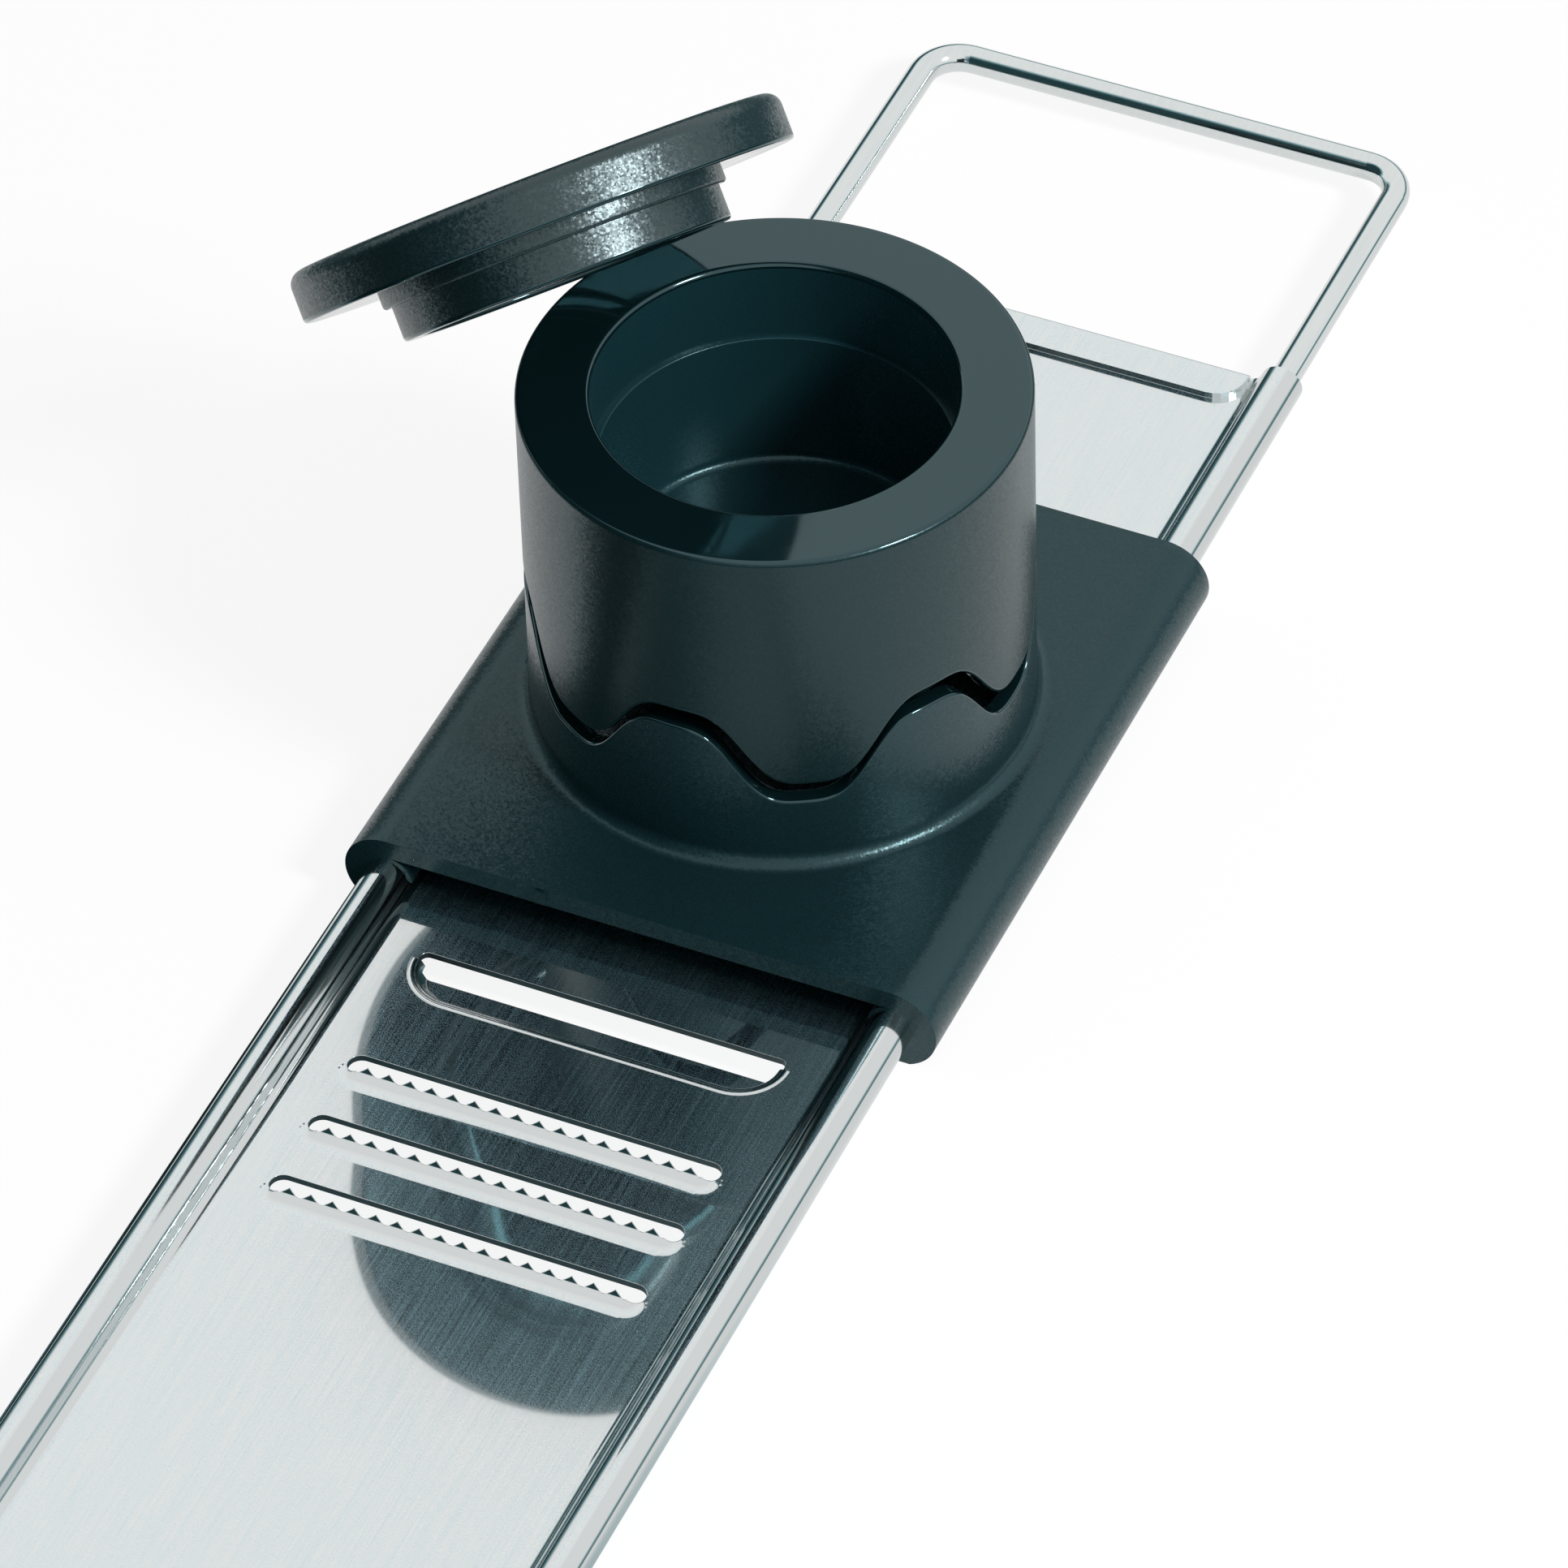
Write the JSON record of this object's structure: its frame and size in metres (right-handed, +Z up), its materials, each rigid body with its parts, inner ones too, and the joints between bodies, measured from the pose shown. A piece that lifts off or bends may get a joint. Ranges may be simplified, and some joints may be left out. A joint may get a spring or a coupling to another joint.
{
  "type": "nutmeg grater",
  "caption": "Hand grater for nutmeg: a slotted steel plate on a wire handle, with a sliding black guard, a storage cup and its loose lid.",
  "frame": {"origin": "top face of the grating plate, on the axis of the cup", "axes": "+X across the plate, +Y along the plate towards the handle, +Z up from the plate through the cup"},
  "size_m": [0.0607, 0.1931, 0.0676],
  "materials": {
    "sheet_steel": "bright brushed",
    "wire_steel": "polished",
    "black_abs": "fine grained"
  },
  "bodies": {
    "grater": {"grater_plate": "sheet_steel", "handle_wire": "wire_steel"},
    "guard": {"sled": "black_abs"},
    "holder": {"cup": "black_abs"},
    "cover": {"lid": "black_abs"}
  },
  "joints": [
    {"name": "guard_slide", "type": "slide", "parent": "grater", "child": "guard", "axis": [0, 1, 0], "range_m": [-0.083, 0.024]},
    {"name": "cup_lift", "type": "slide", "parent": "guard", "child": "holder", "axis": [0, 0, 1], "range_m": [0, 0.03]},
    {"name": "lid_lift", "type": "slide", "parent": "holder", "child": "cover", "axis": [-0.5649, 0.4335, 0.7022], "range_m": [0, 0.03]}
  ]
}
